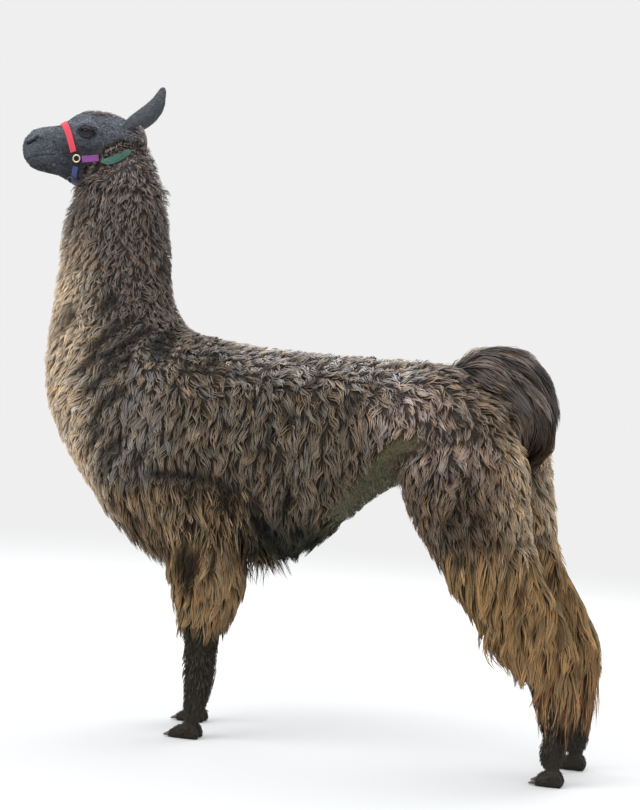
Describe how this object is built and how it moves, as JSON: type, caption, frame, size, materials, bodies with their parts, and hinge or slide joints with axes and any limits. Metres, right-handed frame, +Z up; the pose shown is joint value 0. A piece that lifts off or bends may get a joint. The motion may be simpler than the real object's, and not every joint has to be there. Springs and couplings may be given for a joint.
{
  "type": "standing llama, life size",
  "caption": "Life-size still model of a dark brown llama in full fleece, standing with its neck upright and its tail carried high, wearing a webbing halter.",
  "frame": {"origin": "on the floor, under the middle of the animal's bounding box", "axes": "+Z up, -X towards the nose, -Y the animal's left side"},
  "size_m": [1.7088, 0.4748, 1.7607],
  "materials": {
    "fleece": "dense crimped wool, dark brown with grey tips on the back",
    "neck_wool": "fine fluffy wool, lighter towards its tips",
    "leg_wool": "long straight locks, reddish brown towards their tips",
    "tail_hair": "long straight dark brown hair",
    "short_hair": "short flat charcoal hair",
    "eye": "wet dark brown eyeball",
    "nail": "dark horn, slightly ridged",
    "webbing_red": "woven flat webbing, red",
    "webbing_purple": "woven flat webbing, purple",
    "webbing_green": "woven flat webbing, green",
    "webbing_blue": "woven flat webbing, dark blue",
    "ring_pale": "cast ring, worn pale brass",
    "ring_dark": "round wire ring, dark"
  },
  "bodies": {
    "root": {"neck": "neck_wool", "trunk": "fleece", "head": "short_hair", "eye_left": "eye", "ear_left": "short_hair", "eye_right": "eye", "ear_right": "short_hair", "halter_noseband": "webbing_red", "halter_chin": "webbing_blue", "halter_crown": "webbing_green", "halter_cheek_left": "webbing_purple", "halter_cheek_right": "webbing_purple", "halter_ring_left": "ring_pale", "halter_ring_right": "ring_pale", "halter_ring_chin": "ring_dark", "foreleg_left_upper": "leg_wool", "foreleg_left_cannon": "short_hair", "foreleg_left_foot": "short_hair", "foreleg_left_nail_outer": "nail", "foreleg_left_nail_inner": "nail", "hindleg_left_thigh": "leg_wool", "hindleg_left_shank": "leg_wool", "hindleg_left_cannon": "short_hair", "hindleg_left_foot": "short_hair", "hindleg_left_nail_outer": "nail", "hindleg_left_nail_inner": "nail", "foreleg_right_upper": "leg_wool", "foreleg_right_cannon": "short_hair", "foreleg_right_foot": "short_hair", "foreleg_right_nail_inner": "nail", "foreleg_right_nail_outer": "nail", "hindleg_right_thigh": "leg_wool", "hindleg_right_shank": "leg_wool", "hindleg_right_cannon": "short_hair", "hindleg_right_foot": "short_hair", "hindleg_right_nail_inner": "nail", "hindleg_right_nail_outer": "nail", "tail": "tail_hair"}
  },
  "joints": []
}
